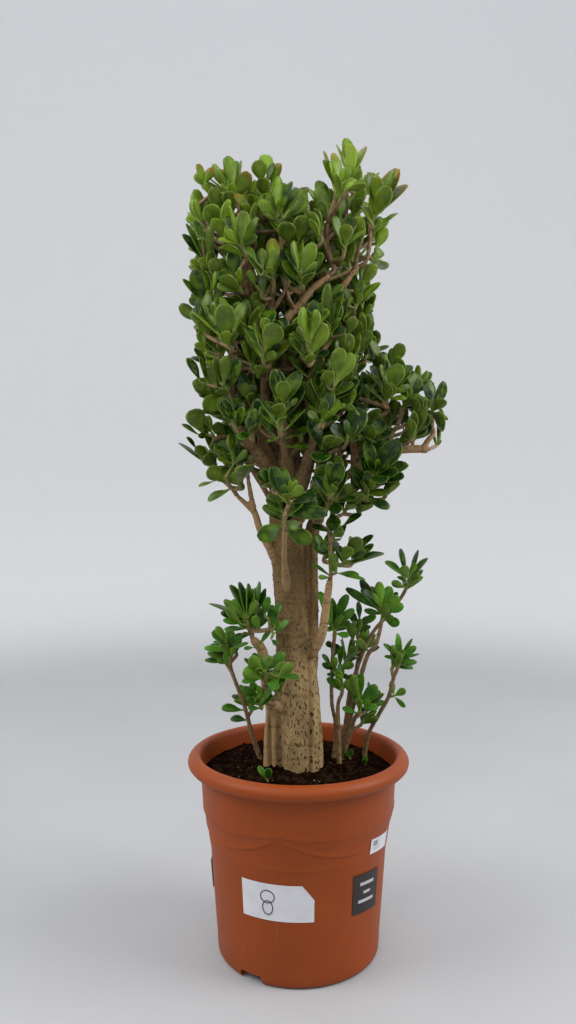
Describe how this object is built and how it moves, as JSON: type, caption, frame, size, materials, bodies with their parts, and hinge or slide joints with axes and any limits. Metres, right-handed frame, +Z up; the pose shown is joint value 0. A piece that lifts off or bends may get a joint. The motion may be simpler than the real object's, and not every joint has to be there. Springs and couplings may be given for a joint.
{
  "type": "potted jade plant",
  "caption": "Tall old jade plant with a thick bark trunk, leafy sprays of spoon-shaped leaves and young suckers, standing in a round nursery pot filled with soil.",
  "frame": {"origin": "centre of the flat pad under the pot, on the surface that the pot stands on", "axes": "+Z up along the pot's axis; -Y is the side that faces the viewer"},
  "size_m": [0.392, 0.3475, 1.1575],
  "materials": {
    "pot_plastic": "moulded terracotta-coloured plastic, satin, scuffed a little",
    "potting_soil": "damp dark brown potting soil with pale specks",
    "bark": "beige-tan bark with ring scars and dark lenticels",
    "foliage": "waxy green succulent leaves with paler margins, some tipped red",
    "label_paper": "white paper sticker",
    "dark_label": "near-black printed sticker, bare"
  },
  "bodies": {
    "root": {"pot": "pot_plastic", "soil": "potting_soil", "paper_label": "label_paper", "white_sticker": "label_paper", "dark_sticker": "dark_label", "side_sticker": "dark_label", "trunk": "bark", "spray_top_left_tip": "foliage", "spray_top_left": "foliage", "spray_top_middle": "foliage", "spray_upper_middle": "foliage", "spray_upper_left": "foliage", "spray_top_right": "foliage", "spray_top_right_far": "foliage", "spray_right_top": "foliage", "spray_right_hanging": "foliage", "spray_middle": "foliage", "spray_middle_left": "foliage", "spray_left_outer": "foliage", "spray_left_middle": "foliage", "spray_centre_right": "foliage", "spray_right_outer": "foliage", "spray_right_shoot": "foliage", "spray_far_right": "foliage", "spray_left_low": "foliage", "spray_left_outer_low": "foliage", "spray_left_twig_end": "foliage", "spray_left_twig": "foliage", "spray_centre_left": "foliage", "spray_centre": "foliage", "spray_right_inner": "foliage", "spray_right_low": "foliage", "spray_front_right": "foliage", "spray_front": "foliage", "spray_low_right": "foliage", "left_shoot": "foliage", "left_low_rosettes": "foliage", "sucker_left": "foliage", "sucker_right_first": "foliage", "sucker_right_front": "foliage", "sucker_right_tall": "foliage", "sucker_right_low": "foliage", "sucker_right_outer": "foliage", "spray_back_right_1": "foliage", "spray_back_left_1": "foliage", "spray_back_right_2": "foliage", "spray_back_left_2": "foliage", "spray_back_right_3": "foliage", "spray_back_left_3": "foliage", "spray_back_right_4": "foliage", "spray_back_left_4": "foliage", "spray_back_right_5": "foliage", "spray_back_left_5": "foliage"}
  },
  "joints": []
}
